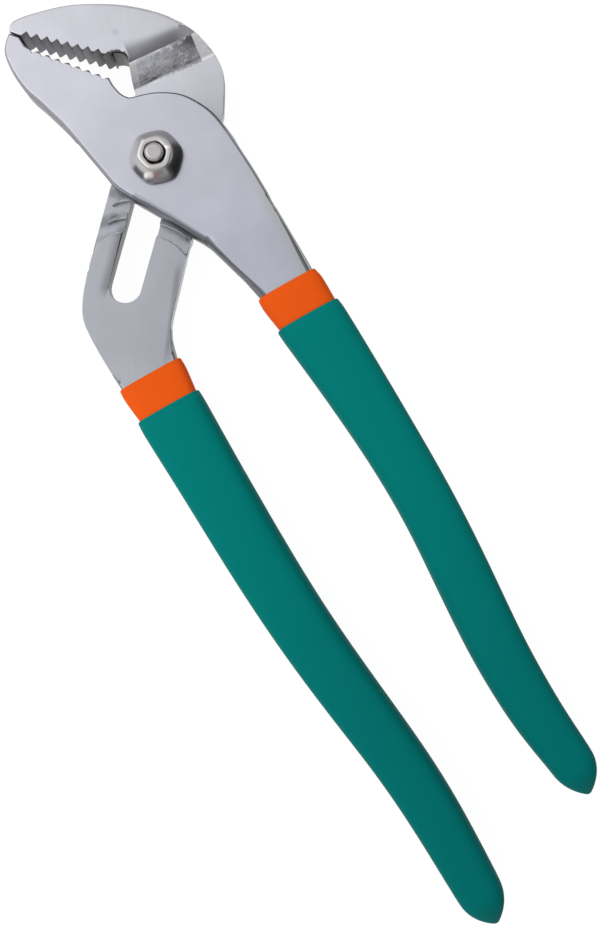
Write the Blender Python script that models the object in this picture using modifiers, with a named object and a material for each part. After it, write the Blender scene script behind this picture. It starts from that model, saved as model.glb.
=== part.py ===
"""Water pump pliers: two forged arms, a bolt that slides in a slot, and dipped grips.

The pliers lie flat. Z is the pivot axis, +Y points from the pivot to the jaws, and the
origin is on the pivot axis where the bolt head rests on the bench. The slotted arm holds
the upper jaw and the left handle, the tongue arm the lower jaw and the right handle.
"""

import math

import bmesh
import bpy
import numpy
from mathutils import Matrix, Vector

MM = 0.001

# Layers, from the bench up
head_thickness = 3.0 * MM
layer_thickness = 5.6 * MM
clearance = 0.3 * MM
overrun = 2.0 * MM

# Jaws
jaw_length = 46.5 * MM
edge_round = 1.0 * MM
tip_share = 0.4
tip_start_share = 0.7
mouth_share = 0.5
upper_tooth_count = 9
lower_tooth_count = 8
upper_tooth_depth = 1.3 * MM
lower_tooth_depth = 1.0 * MM
tooth_flat = 0.12 * MM
step_foot = 18.8 * MM
step_slope = 5.6 * MM
step_roll = 3.0 * MM
step_roll_height = 1.2 * MM
step_turn = math.radians(-4.7)

# Hub, band and slot
hub_radius = 17.0 * MM
neck_length = 44.5 * MM
neck_round = 2.2 * MM
band_left = 10.6 * MM
band_right = 12.4 * MM
band_flare = 0.5 * MM
slot_angle = math.radians(45)
slot_half_width = 4.15 * MM
slot_lead = 1.2 * MM
slot_length = 31.9 * MM

# Channels and tongue
channel_count = 7
channel_pitch = 4.65 * MM
channel_radius = 11.7 * MM
channel_width = 3.0 * MM
channel_depth = 1.5 * MM
channel_straight = 5.5 * MM
channel_left_turn = math.radians(105)
channel_right_turn = math.radians(55)
tongue_turn = math.radians(35)
hinge_travel = math.radians(60)

# Bolt and nut
shank_radius = 3.0 * MM
bolt_neck_radius = 4.5 * MM
bolt_head_radius = 8.6 * MM
bolt_head_round = 1.0 * MM
bolt_end_height = 6.6 * MM
bolt_end_radius = 2.3 * MM
bolt_end_slope = 0.5 * MM
nut_corner_radius = 7.3 * MM
nut_side_height = 1.8 * MM
nut_dome_height = 3.4 * MM
nut_mouth_radius = 4.2 * MM
nut_turn = math.radians(44)
nut_sides = 6

# Handles and grips
tongue_handle_length = 190.5 * MM
tongue_handle_offset = 16.5 * MM
tongue_handle_width = 19.5 * MM
slotted_handle_length = 207.3 * MM
slotted_handle_offset = 28.1 * MM
slotted_handle_width = 21.0 * MM
handle_thickness = 7.6 * MM
handle_round = 2.4 * MM
handle_tip_length = 8.0 * MM
handle_tip_power = 2.1
handle_tip_share = 0.97
root_overlap = 7.0 * MM
root_length = 4.0 * MM
inner_wall = 1.0 * MM
outer_wall = 0.8 * MM
tongue_inner_top = 42.2 * MM
tongue_outer_top = 51.4 * MM
slotted_inner_top = 44.5 * MM
slotted_outer_top = 54.0 * MM
lip_length = 3.0 * MM
lip_share = 0.5

# Levels worked out from the layers
rear_face = head_thickness + clearance
rear_top = rear_face + layer_thickness
front_bottom = rear_top + clearance
front_face = front_bottom + layer_thickness
middle = (rear_top + front_bottom) / 2

# Upper jaw outline, as shares of the jaw length
jaw_back_shares = (
    (-0.351, 0.963), (-0.327, 0.996), (-0.269, 1.000), (-0.159, 0.978), (0.011, 0.925),
    (0.210, 0.817), (0.345, 0.710), (0.442, 0.602), (0.508, 0.484), (0.544, 0.387),
    (0.548, 0.312), (0.527, 0.226), (0.431, 0.065))
contact_shares = ((-0.351, 0.963), (-0.312, 0.915))
upper_bite_shares = ((-0.308, 0.915), (0.058, 0.574))
throat_shares = (
    (0.058, 0.370), (0.087, 0.442), (0.109, 0.495), (0.125, 0.537), (0.117, 0.567),
    (0.096, 0.587), (0.072, 0.599))
throat_corner_shares = ((0.052, 0.580),)

# Lower jaw outline, as shares of the jaw length
lower_back_shares = (
    (-0.396, 0.925), (-0.431, 0.871), (-0.443, 0.763), (-0.432, 0.656), (-0.395, 0.548),
    (-0.347, 0.387), (-0.315, 0.226), (-0.286, 0.065))
lower_bite_shares = ((-0.012, 0.495), (-0.304, 0.843))
lower_lip_shares = ((-0.315, 0.863),)
lower_throat_shares = (
    (0.019, 0.363), (0.003, 0.389), (-0.006, 0.420), (-0.012, 0.456), (-0.012, 0.495))

# Hub outline, as shares of the hub radius
hub_arc_shares = (
    (1.094, -0.118), (1.029, 0.200), (0.882, 0.488), (0.706, 0.688), (0.412, 0.859),
    (0.118, 0.947))

# Necks of both arms, as shares of the neck length
hub_left_shares = (
    (-0.276, -0.034), (-0.215, -0.157), (-0.148, -0.270), (-0.025, -0.494), (0.014, -0.545))
hub_end_shares = ((0.040, -0.608), (0.440, -0.608))
hub_side_shares = ((0.444, -0.540), (0.439, -0.326), (0.428, -0.157))
neck_right_shares = (
    (-0.091, -0.494), (-0.197, -0.607), (-0.299, -0.719), (-0.382, -0.813), (-0.425, -0.888))
neck_end_shares = ((-0.462, -0.966), (-0.796, -0.966))
neck_left_shares = (
    (-0.815, -0.888), (-0.818, -0.697), (-0.803, -0.551), (-0.740, -0.438), (-0.646, -0.326),
    (-0.545, -0.213))

# Steel handles: shares of the length past the root, of the offset and of the width
tongue_handle_shares = (
    (0.000, 0.590, 0.950), (0.023, 0.612, 1.000), (0.070, 0.688, 0.882),
    (0.114, 0.758, 0.777), (0.164, 0.809, 0.718), (0.211, 0.852, 0.636),
    (0.281, 0.908, 0.587), (0.399, 0.979, 0.508), (0.516, 1.002, 0.480),
    (0.633, 0.935, 0.495), (0.751, 0.858, 0.467), (0.868, 0.890, 0.418),
    (0.939, 0.990, 0.350))
slotted_handle_shares = (
    (0.000, 0.950, 0.890), (0.021, 0.982, 0.829), (0.050, 1.000, 0.757),
    (0.088, 0.995, 0.681), (0.129, 0.992, 0.607), (0.245, 0.974, 0.560),
    (0.362, 0.957, 0.533), (0.478, 0.919, 0.502), (0.596, 0.841, 0.479),
    (0.712, 0.746, 0.438), (0.794, 0.706, 0.416), (0.865, 0.698, 0.385),
    (0.934, 0.698, 0.343))
tongue_blend_shares = (0.023, 0.187)
slotted_blend_shares = (0.053, 0.153)

# Counts of points and rings
curve_steps = 3
corner_steps = 4
neck_ring_count = 4
handle_ring_count = 11
tip_ring_count = 5
turn_steps = 40
slot_end_steps = 12
channel_turn_steps = 10
channel_tail_steps = 4
tongue_steps = 6
bolt_neck_steps = 8
rim_segments = 2

# Where faces are sharp and points are one
sharp_angle = math.radians(35)
merge_distance = clearance / 100


def clear_scene():
    for thing in list(bpy.data.objects):
        bpy.data.objects.remove(thing, do_unlink=True)


def collection(name):
    made = bpy.data.collections.new(name)
    bpy.context.scene.collection.children.link(made)
    return made


def material(name, colour, roughness, metallic):
    made = bpy.data.materials.new(name)
    made.use_nodes = True
    shader = made.node_tree.nodes["Principled BSDF"]
    shader.inputs["Base Color"].default_value = (*colour, 1)
    shader.inputs["Roughness"].default_value = roughness
    shader.inputs["Metallic"].default_value = metallic
    return made


def spread(shares, size):
    """Points in metres from shares of one size."""
    return [Vector((x * size, y * size)) for x, y in shares]


def on_slot(along, across):
    """A point from its place along the slot, towards the jaws, and to the left of it."""
    cosine, sine = math.cos(slot_angle), math.sin(slot_angle)
    return Vector((along * cosine - across * sine, along * sine + across * cosine))


def arc(centre, radius, start, end, steps):
    """Points on an arc, in slot coordinates, with angles from the slot's jaw end."""
    angles = [start + (end - start) * step / steps for step in range(steps + 1)]
    return [
        on_slot(centre[0] + radius * math.cos(a), centre[1] + radius * math.sin(a))
        for a in angles]


def smooth(stops, steps=curve_steps):
    """A smooth curve through every stop, ends included."""
    stops = [2 * stops[0] - stops[1]] + list(stops) + [2 * stops[-1] - stops[-2]]
    curve = [stops[1].copy()]
    for before, start, end, after in zip(stops, stops[1:], stops[2:], stops[3:]):
        for step in range(1, steps + 1):
            t = step / steps
            curve.append(
                start * (2 * t**3 - 3 * t**2 + 1) + end * (3 * t**2 - 2 * t**3)
                + (end - before) / 2 * (t**3 - 2 * t**2 + t)
                + (after - start) / 2 * (t**3 - t**2))
    return curve


def smoothstep(t):
    t = min(max(t, 0), 1)
    return t * t * (3 - 2 * t)


def new_object(name, mesh, home, look=None):
    """An object in the pliers with a material, or in the cutters without one."""
    made = bpy.data.objects.new(name, mesh)
    home.objects.link(made)
    if look:
        mesh.materials.append(look)
    else:
        made.hide_render = True
        made.display_type = "WIRE"
    return made


def prism(name, outline, low, high, home, look=None):
    """A flat outline, filled and extruded between two heights."""
    curve = bpy.data.curves.new(name, "CURVE")
    curve.dimensions = "2D"
    curve.fill_mode = "BOTH"
    curve.extrude = (high - low) / 2
    spline = curve.splines.new("POLY")
    spline.points.add(len(outline) - 1)
    for point, place in zip(spline.points, outline):
        point.co = (*place, 0, 1)
    spline.use_cyclic_u = True
    flat = bpy.data.objects.new(name + "_outline", curve)
    home.objects.link(flat)
    flat.location.z = (low + high) / 2
    bpy.context.view_layer.update()
    ready = flat.evaluated_get(bpy.context.evaluated_depsgraph_get())
    mesh = bpy.data.meshes.new_from_object(ready)
    mesh.transform(flat.matrix_world)
    bpy.data.objects.remove(flat)
    shape = bmesh.new()
    shape.from_mesh(mesh)
    bmesh.ops.remove_doubles(shape, verts=shape.verts, dist=merge_distance)
    inside = [edge for edge in shape.edges
              if all(abs(face.normal.z) > 1 / 2 for face in edge.link_faces)]
    bmesh.ops.dissolve_edges(shape, edges=inside)
    bmesh.ops.recalc_face_normals(shape, faces=shape.faces)
    shape.to_mesh(mesh)
    shape.free()
    return new_object(name, mesh, home, look)


def turned(name, profile, home, look=None):
    """A turned piece: radius and height pairs from the top centre down to the bottom."""
    mesh = bpy.data.meshes.new(name)
    links = [(i, i + 1) for i in range(len(profile) - 1)]
    mesh.from_pydata([(radius, 0, height) for radius, height in profile], links, [])
    made = new_object(name, mesh, home, look)
    screw = made.modifiers.new("Turn", "SCREW")
    screw.steps = turn_steps
    screw.render_steps = turn_steps
    screw.use_merge_vertices = True
    screw.merge_threshold = merge_distance
    return made


def loft(name, rings, home, look=None):
    """A skin through rings of equal count, closed by a cap at each end."""
    shape = bmesh.new()
    loops = [[shape.verts.new(place) for place in ring] for ring in rings]
    count = len(rings[0])
    for lower, upper in zip(loops, loops[1:]):
        for i in range(count):
            j = (i + 1) % count
            shape.faces.new((lower[i], lower[j], upper[j], upper[i]))
    shape.faces.new(list(reversed(loops[0])))
    shape.faces.new(loops[-1])
    bmesh.ops.recalc_face_normals(shape, faces=shape.faces)
    mesh = bpy.data.meshes.new(name)
    shape.to_mesh(mesh)
    shape.free()
    return new_object(name, mesh, home, look)


def boolean(piece, other, operation):
    """Cut a piece by another, join them, or keep what they share."""
    made = piece.modifiers.new(operation.title() + " " + other.name, "BOOLEAN")
    made.operation = operation
    made.object = other
    made.solver = "EXACT"


def shade(piece):
    """Smooth faces that meet softly, sharp edges elsewhere."""
    piece.data.shade_smooth()
    piece.data.set_sharp_from_angle(angle=sharp_angle)


def round_rims(piece, width, share_at):
    """Round the front and back rims of a plate, each edge by a share at its jaw end."""
    mesh = piece.data
    weights = mesh.attributes.new("bevel_weight_edge", "FLOAT", "EDGE")
    for edge in mesh.edges:
        start, end = [mesh.vertices[i].co for i in edge.vertices]
        if abs(start.z - end.z) < clearance:
            jaw_end = max(start, end, key=lambda place: place.y)
            weights.data[edge.index].value = share_at(jaw_end)
    bevel = piece.modifiers.new("Rims", "BEVEL")
    bevel.limit_method = "WEIGHT"
    bevel.width = width
    bevel.segments = rim_segments
    bevel.use_clamp_overlap = False


def at_tip(place):
    """The share of a rim's rounding: full round the back of the jaws, less at their tips."""
    t = smoothstep((place.y / jaw_length - tip_start_share) / (1 - tip_start_share))
    return 1 - (1 - tip_share) * t


def comb(name, bite, count, depth):
    """A cutter that leaves pointed teeth on the side to the left of the bite line."""
    start, end = bite
    along = (end - start) / count
    inward = Vector((-along.y, along.x)).normalized()
    points = []
    for i in range(count):
        points.append(start + along * i - inward * tooth_flat)
        points.append(start + along * (i + 1 / 2) + inward * depth)
    points.append(end - inward * tooth_flat)
    points.append(end - inward * (tooth_flat + overrun))
    points.append(start - inward * (tooth_flat + overrun))
    return prism(name, points, rear_face - overrun, front_face + overrun, cutters)


class Handle:
    """The steel of one handle: its middle, width and faces at each place along it."""

    def __init__(self, shares, root, length, offset, width, blend_shares, layer, tops):
        rows = [Vector((root + along * (length - root), across * offset, wide * width))
                for along, across, wide in shares]
        self.rows = numpy.array(smooth(rows))
        self.blend = [root + share * (length - root) for share in blend_shares]
        self.layer = layer
        self.start = root
        self.tip_start = length - handle_tip_length - 2 * clearance - inner_wall - outer_wall
        self.places = self.ring_places(*tops)

    def ring_places(self, inner_top, outer_top):
        """Places of all rings, with more of them where the grips begin."""
        neck = numpy.linspace(self.start, inner_top, neck_ring_count + 1)
        band = [inner_top + lip_length / 2, inner_top + lip_length,
                outer_top, outer_top + lip_length / 2]
        hand = numpy.linspace(outer_top + lip_length, self.tip_start, handle_ring_count + 1)
        return [*neck, *band, *hand]

    def ring(self, along, growth, tip=0):
        """A rounded rectangle, grown by a wall and drawn in towards the pointed tip."""
        begin, end = self.blend
        t = smoothstep((along - begin) / (end - begin))
        low = self.layer[0] * (1 - t) + (middle - handle_thickness / 2) * t
        high = self.layer[1] * (1 - t) + (middle + handle_thickness / 2) * t
        x = numpy.interp(along, self.rows[:, 0], self.rows[:, 1])
        width = numpy.interp(along, self.rows[:, 0], self.rows[:, 2])
        shrink = 1 - tip ** handle_tip_power
        shift = (handle_tip_length + growth) * tip
        half_width = (width / 2 + growth) * shrink
        half_height = ((high - low) / 2 + growth) * shrink
        radius = (edge_round * (1 - t) + handle_round * t + growth) * shrink
        points = []
        for quarter in range(4):
            corner_x = (half_width - radius) * (1 if quarter in (0, 3) else -1)
            corner_z = (half_height - radius) * (1 if quarter in (0, 1) else -1)
            for step in range(corner_steps):
                turn = math.pi / 2 * (quarter + step / (corner_steps - 1))
                points.append((
                    x + corner_x + radius * math.cos(turn), -along - shift,
                    (low + high) / 2 + corner_z + radius * math.sin(turn)))
        return points

    def rings(self, top, growth_at):
        """Rings from the top of a layer to its pointed tip."""
        places = [place for place in self.places if place > top - clearance]
        made = [self.ring(place, growth_at(place)) for place in places]
        growth = growth_at(self.tip_start)
        for i in range(1, tip_ring_count + 1):
            tip = handle_tip_share * i / tip_ring_count
            made.append(self.ring(self.tip_start, growth, tip))
        return made


def grip(name, handle, top, inside, wall, look):
    """One dipped layer: a sleeve open at the top and closed round the tip."""
    def outside_at(along):
        lip = lip_share + (1 - lip_share) * smoothstep((along - top) / lip_length)
        return inside + wall * lip
    outer = handle.rings(top, outside_at)
    inner = handle.rings(top, lambda along: inside)
    made = loft(name, list(reversed(outer)) + inner, pliers, look)
    shade(made)
    return made


def steel_handle(name, handle):
    """The forged handle. Its root is a little thinner, to end inside the arm's plate."""
    def growth_at(along):
        return -clearance * (1 - smoothstep((along - handle.start) / root_length))
    return loft(name, handle.rings(handle.start, growth_at), cutters)


def upright(profile, name):
    """A cutter with a side profile across Y and Z, as wide as the head needs."""
    made = prism(name, profile, -2 * jaw_length, 2 * jaw_length, cutters)
    made.data.transform(Matrix(((0, 0, 1), (1, 0, 0), (0, 1, 0))).to_4x4())
    return made


def step_cutter():
    """Takes the front layer off the slotted arm, up to the rough step below the jaw."""
    far = -2 * neck_length
    top = front_face + overrun
    shoulder = step_foot + step_slope
    profile = [
        Vector((far, rear_top)), Vector((step_foot, rear_top)),
        Vector((shoulder, front_face - step_roll_height)),
        Vector((shoulder + step_roll, front_face)),
        Vector((shoulder + step_roll + overrun, top)), Vector((far, top))]
    made = upright(profile, "step_cutter")
    made.data.transform(Matrix.Rotation(step_turn, 4, "Z"))
    return made


def slot_cutter():
    quarter = math.pi / 2
    outline = (
        arc((slot_lead, 0), slot_half_width, -quarter, quarter, slot_end_steps)
        + arc((-slot_length, 0), slot_half_width, quarter, 3 * quarter, slot_end_steps))
    return prism("slot_cutter", outline, rear_face - overrun, rear_top + overrun, cutters)


def channel_cutter(index):
    """One channel: an arc about a stop of the bolt, then straight, then an arc again."""
    stop = (-index * channel_pitch, 0)
    side = (-index * channel_pitch, -channel_straight)
    outer = channel_radius + channel_width / 2
    inner = channel_radius - channel_width / 2
    outline = (
        arc(side, outer, -channel_right_turn, 0, channel_tail_steps)
        + arc(stop, outer, 0, channel_left_turn, channel_turn_steps)
        + arc(stop, inner, channel_left_turn, 0, channel_turn_steps)
        + arc(side, inner, 0, -channel_right_turn, channel_tail_steps))
    low = rear_top - channel_depth
    return prism("channel_cutter_" + str(index), outline, low, rear_top + overrun, cutters)


def slotted_arm():
    sides = (
        smooth(spread(jaw_back_shares, jaw_length))
        + smooth([on_slot(-hub_radius, -band_right - band_flare)]
                 + spread(neck_right_shares, neck_length))
        + spread(neck_end_shares, neck_length)
        + smooth(spread(neck_left_shares, neck_length)))
    inside = (
        smooth([on_slot(hub_radius / 2, band_left)] + spread(throat_shares, jaw_length))
        + spread(throat_corner_shares + contact_shares[1:], jaw_length))
    arm = prism("slotted_arm", sides + inside, rear_face, front_face, pliers, steel)
    round_rims(arm, edge_round, at_tip)
    shade(arm)
    boolean(arm, step_cutter(), "DIFFERENCE")
    boolean(arm, slot_cutter(), "DIFFERENCE")
    for index in range(channel_count):
        boolean(arm, channel_cutter(index), "DIFFERENCE")
    boolean(arm, steel_handle("slotted_handle_steel", slotted_handle), "UNION")
    bite = spread(upper_bite_shares, jaw_length)
    boolean(arm, comb("upper_teeth_cutter", bite, upper_tooth_count, upper_tooth_depth), "DIFFERENCE")
    return arm


def rear_cutter():
    """Takes the rear layer off the tongue arm wherever the band passes behind it."""
    reach = 3 * jaw_length
    side = band_left + 2 * clearance
    corner = (side * math.tan(hinge_travel / 2), side)
    away = math.pi - hinge_travel
    outline = [
        on_slot(*corner),
        on_slot(corner[0] + reach * math.cos(away), corner[1] + reach * math.sin(away)),
        on_slot(-reach, -reach), on_slot(reach, -reach), on_slot(reach, side)]
    return prism("rear_cutter", outline, rear_face - overrun, front_bottom, cutters)


def tongue():
    """The raised tongue that sits in a channel, an arc about the bolt."""
    half = channel_width / 2 - clearance
    outline = (
        arc((0, 0), channel_radius + half, 0, tongue_turn, tongue_steps)
        + arc((0, 0), channel_radius - half, tongue_turn, 0, tongue_steps))
    low = rear_top - channel_depth + clearance
    return prism("tongue", outline, low, front_bottom + clearance, cutters)


def bore_cutter(name, low, high):
    radius = shank_radius + clearance
    return turned(name, [(0, high), (radius, high), (radius, low), (0, low)], cutters)


def tongue_arm():
    upper_contact = spread(contact_shares, jaw_length)
    run = upper_contact[1] - upper_contact[0]
    away = Vector((run.y, -run.x)).normalized() * clearance
    contact = [point + away for point in upper_contact]
    left = smooth(
        contact[:1] + spread(lower_back_shares, jaw_length) + spread(hub_left_shares, neck_length))
    right = smooth(
        spread(hub_side_shares, neck_length) + spread(hub_arc_shares, hub_radius)
        + spread(lower_throat_shares, jaw_length))
    outline = (
        left + spread(hub_end_shares, neck_length) + right
        + spread(lower_bite_shares[1:] + lower_lip_shares, jaw_length) + contact[1:])
    arm = prism("tongue_arm", outline, rear_face, front_face, pliers, steel)

    def share_at(place):
        in_mouth = place.x > -hub_radius / 2
        t = smoothstep(place.y / hub_radius) if in_mouth else 0
        narrow = edge_round / neck_round * at_tip(place) * (1 - (1 - mouth_share) * t)
        on_left = place.x < hub_radius / 2
        t = smoothstep(-place.y / hub_radius) if on_left else 0
        return narrow + (1 - narrow) * t

    round_rims(arm, neck_round, share_at)
    shade(arm)
    boolean(arm, rear_cutter(), "DIFFERENCE")
    bore = bore_cutter("tongue_arm_bore", rear_top, front_face + overrun)
    boolean(arm, bore, "DIFFERENCE")
    boolean(arm, tongue(), "UNION")
    boolean(arm, steel_handle("tongue_handle_steel", tongue_handle), "UNION")
    bite = spread(lower_bite_shares, jaw_length)
    boolean(arm, comb("lower_teeth_cutter", bite, lower_tooth_count, lower_tooth_depth), "DIFFERENCE")
    return arm


def pivot_bolt():
    """Low round head, a neck with two flats for the slot, and a shank with a worked end."""
    end = front_face + bolt_end_height
    rim = [
        (bolt_head_radius - bolt_head_round * (1 - math.cos(turn)),
         bolt_head_round * (1 - math.sin(turn)))
        for turn in numpy.linspace(0, math.pi / 2, corner_steps)]
    profile = [
        (0, end), (bolt_end_radius, end), (shank_radius, end - bolt_end_slope),
        (shank_radius, head_thickness), (bolt_head_radius, head_thickness), *rim, (0, 0)]
    bolt = turned("pivot_bolt", profile, pliers, bright)
    shade(bolt)
    flat = slot_half_width - clearance
    turn = math.asin(flat / bolt_neck_radius)
    outline = (
        arc((0, 0), bolt_neck_radius, -turn, turn, bolt_neck_steps)
        + arc((0, 0), bolt_neck_radius, math.pi - turn, math.pi + turn, bolt_neck_steps))
    neck = prism("bolt_neck", outline, head_thickness - clearance, rear_top, cutters)
    boolean(bolt, neck, "UNION")
    return bolt


def pivot_nut():
    """A hexagon nut with low sides under a dome, which scallops them."""
    base = front_face + clearance
    top = base + nut_side_height + nut_dome_height
    corners = [nut_turn - slot_angle + math.tau * i / nut_sides for i in range(nut_sides)]
    outline = [
        on_slot(nut_corner_radius * math.cos(a), nut_corner_radius * math.sin(a)) for a in corners]
    nut = prism("pivot_nut", outline, base, top, pliers, bright)
    shade(nut)
    rim = nut_corner_radius + clearance
    dome = [
        (nut_mouth_radius + (rim - nut_mouth_radius) * math.sin(turn),
         top + clearance - (nut_dome_height + clearance) * (1 - math.cos(turn)))
        for turn in numpy.linspace(0, math.pi / 2, 2 * corner_steps)]
    profile = [(0, top + clearance), *dome, (rim, base - overrun), (0, base - overrun)]
    boolean(nut, turned("nut_dome", profile, cutters), "INTERSECT")
    bore = bore_cutter("nut_bore", base - overrun, top + overrun)
    boolean(nut, bore, "DIFFERENCE")
    return nut


clear_scene()
pliers = collection("water_pump_pliers")
cutters = collection("cutters")
steel = material("satin_steel", (0.56, 0.56, 0.60), 0.32, 1)
bright = material("bright_steel", (0.66, 0.66, 0.69), 0.18, 1)
orange = material("orange_vinyl", (0.78, 0.10, 0.01), 0.45, 0)
green = material("green_vinyl", (0.01, 0.16, 0.14), 0.45, 0)

tongue_root = -hub_end_shares[0][1] * neck_length - root_overlap
slotted_root = -neck_end_shares[0][1] * neck_length - root_overlap
tongue_handle = Handle(
    tongue_handle_shares, tongue_root, tongue_handle_length, tongue_handle_offset,
    tongue_handle_width, tongue_blend_shares, (front_bottom, front_face),
    (tongue_inner_top, tongue_outer_top))
slotted_handle = Handle(
    slotted_handle_shares, slotted_root, slotted_handle_length, -slotted_handle_offset,
    slotted_handle_width, slotted_blend_shares, (rear_face, rear_top),
    (slotted_inner_top, slotted_outer_top))

on_steel = clearance
on_inner = clearance + inner_wall + clearance
root_pieces = [
    slotted_arm(),
    grip("slotted_arm_inner_grip", slotted_handle, slotted_inner_top, on_steel, inner_wall, orange),
    grip("slotted_arm_outer_grip", slotted_handle, slotted_outer_top, on_inner, outer_wall, green)]
slide_pieces = [pivot_bolt(), pivot_nut()]
hinge_pieces = [
    tongue_arm(),
    grip("tongue_arm_inner_grip", tongue_handle, tongue_inner_top, on_steel, inner_wall, orange),
    grip("tongue_arm_outer_grip", tongue_handle, tongue_outer_top, on_inner, outer_wall, green)]

slide = bpy.data.objects.new("pivot_slide", None)
hinge = bpy.data.objects.new("tongue_hinge", None)
pliers.objects.link(slide)
pliers.objects.link(hinge)
hinge.parent = slide
for piece in slide_pieces:
    piece.parent = slide
for piece in hinge_pieces:
    piece.parent = hinge
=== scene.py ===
"""Water pump pliers on a pale floor: satin forged arms, a polished pivot and dipped grips."""

import math

import bpy
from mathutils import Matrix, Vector


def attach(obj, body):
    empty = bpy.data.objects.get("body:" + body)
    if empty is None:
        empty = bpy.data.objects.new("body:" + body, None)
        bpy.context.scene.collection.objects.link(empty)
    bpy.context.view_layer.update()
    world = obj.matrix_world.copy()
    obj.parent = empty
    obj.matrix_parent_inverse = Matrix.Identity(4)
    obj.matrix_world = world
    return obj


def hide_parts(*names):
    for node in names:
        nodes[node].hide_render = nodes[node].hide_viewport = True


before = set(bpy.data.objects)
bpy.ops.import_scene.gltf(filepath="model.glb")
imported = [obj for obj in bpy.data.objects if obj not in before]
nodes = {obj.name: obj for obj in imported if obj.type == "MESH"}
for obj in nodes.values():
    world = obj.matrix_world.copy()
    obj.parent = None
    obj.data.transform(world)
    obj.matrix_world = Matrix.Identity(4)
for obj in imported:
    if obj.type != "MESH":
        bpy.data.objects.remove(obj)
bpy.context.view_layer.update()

MM = 0.001

# The photograph's view
camera_place = (-0.0060, -0.0826, 0.31905)
camera_turn = math.radians(-29.4)
camera_lens = 48.2


def pick_nothing():
    """Leaves edit mode and deselects every piece."""
    if bpy.context.mode != "OBJECT":
        bpy.ops.object.mode_set(mode="OBJECT")
    bpy.ops.object.select_all(action="DESELECT")


def work_on(piece):
    """Makes a piece the one that operators work on."""
    pick_nothing()
    bpy.context.view_layer.objects.active = piece
    piece.select_set(True)


def keep_as(name):
    """Names the piece that was just worked on, and its mesh."""
    piece = bpy.context.object
    piece.name = name
    piece.data.name = name
    return piece


def wear(piece, *looks):
    """Gives a piece its looks, in their order."""
    piece.data.materials.clear()
    for look in looks:
        piece.data.materials.append(look)


# The side of the room that lies in shade
dark_side = (0.714, -0.700, 0)

# The step below the upper jaw
step_turn = math.radians(4.7)
step_across = Vector((math.cos(step_turn), -math.sin(step_turn), 0))
step_uphill = Vector((math.sin(step_turn), math.cos(step_turn), 0))
step_foot = 18.8 * MM
step_shoulder = 24.4 * MM
step_roll_end = 27.4 * MM
step_corner = (21.6 * MM, 22.9 * MM)

# Faces of the forgings, counted up from the bench
channel_floor = 7.4 * MM
band_face = 8.9 * MM
hub_foot = 9.2 * MM
front_face = 14.8 * MM
roll_low = front_face - 1.3 * MM

# The slot's two directions, and its channels
slot_along = (math.sqrt(0.5), math.sqrt(0.5), 0)
slot_left = (-math.sqrt(0.5), math.sqrt(0.5), 0)
slot_half = 4.15 * MM
channel_count = 7
channel_pitch = 4.65 * MM
channel_radius = 11.7 * MM
channel_half = 1.5 * MM
channel_shift = -5.5 * MM

# The middles of the throat and of a small dent on the jaw
throat = (3.0 * MM, 27.5 * MM)
jaw_dent = (6.3 * MM, 31.9 * MM)

# The strip of painted shade inside the slot's right side: the direction across it, and how far out
# it lies
right_strip = (0.804, -0.595, 0)
right_strip_at = 7.92 * MM

# Lines of painted shade, in mm: start and end, and for a patch its half width and depth
shadow_patches = (
    ((-14.6, 0.6), (-11.4, -2.4), 1.7, 0.34),
    ((-19.8, -5.4), (-16.8, -6.2), 2.0, 0.40),
    ((-16.6, -6.0), (-13.9, -6.7), 1.0, 0.30),
    ((-22.5, -8.7), (-16.6, -10.0), 0.8, 0.16),
    ((-5.9, -13.5), (-2.9, -19.8), 1.5, 0.42),
)
shaded_rims = (
    ((-9.3, -5.6), (-3.9, -14.3)), ((-3.9, -14.3), (0.4, -22.6)), ((0.4, -22.6), (6.1, -42.6)))

# How much each mark darkens the colour: the grain is the steel's own, the fade darkens the slope
# towards its right, the others are painted shade, and the last one is the grips' painted shade
grain_depth = 0.10
line_shade_depth = 0.6
wall_shade_depth = 0.78
shoulder_depth = 0.32
strip_shade_depth = 0.42
dent_shade_depth = 0.14
mouth_depth = 0.7
hub_shadow_depth = 0.75
rim_depth = 0.32
fade_depth = 0.45
corner_shade_depth = 0.6
side_depth = 0.36

# Tints of handled steel and of painted light
painted_light_tint = (0.92, 0.92, 0.95, 1)
warm_tint = (0.95, 0.94, 0.86, 1)
scratch_tint = (0.95, 0.95, 1, 1)
nut_dark = (0.52, 0.51, 0.50, 1)
nut_light = (0.60, 0.59, 0.59, 1)
white = (1, 1, 1, 1)

# Roughness from the smoothest to the dullest places
satin_gloss = (0.30, 0.40)
nut_gloss = (0.28, 0.36)
vinyl_gloss = (0.5, 0.62)

# Painted shade on the nut's sides: turn, soft and hard edge of the side, from and to radius in mm,
# depth
nut_shades = ((-38, 0.62, 0.90, 4.1, 4.7, 0.85), (195, 0.93, 0.985, 4.8, 5.6, 0.75),
              (262, 0.60, 0.85, 6.1, 6.7, 0.65), (-38, 0.0, 0.6, 4.1, 4.7, 0.25))
# Painted highlights on the nut: start and end in mm, half width in mm, share
nut_glints = (((-4.4, -3.4), (-3.2, -4.1), 0.8, 0.9), ((-5.2, -4.7), (-4.0, -5.5), 0.45, 0.8),
              ((3.0, -0.2), (3.6, -0.5), 0.5, 0.6), ((-1.3, 3.9), (-0.9, 4.2), 0.5, 0.6))


# Shader building blocks

noise_span = (0.3, 0.7)


def new_group(name, inputs, outputs):
    """An empty shader group with named sockets, and its two end nodes."""
    tree = bpy.data.node_groups.new(name, "ShaderNodeTree")
    for label, kind, value in inputs:
        socket = tree.interface.new_socket(label, in_out="INPUT", socket_type=kind)
        if value is not None:
            socket.default_value = value
    for label, kind in outputs:
        tree.interface.new_socket(label, in_out="OUTPUT", socket_type=kind)
    return tree, tree.nodes.new("NodeGroupInput"), tree.nodes.new("NodeGroupOutput")


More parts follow.
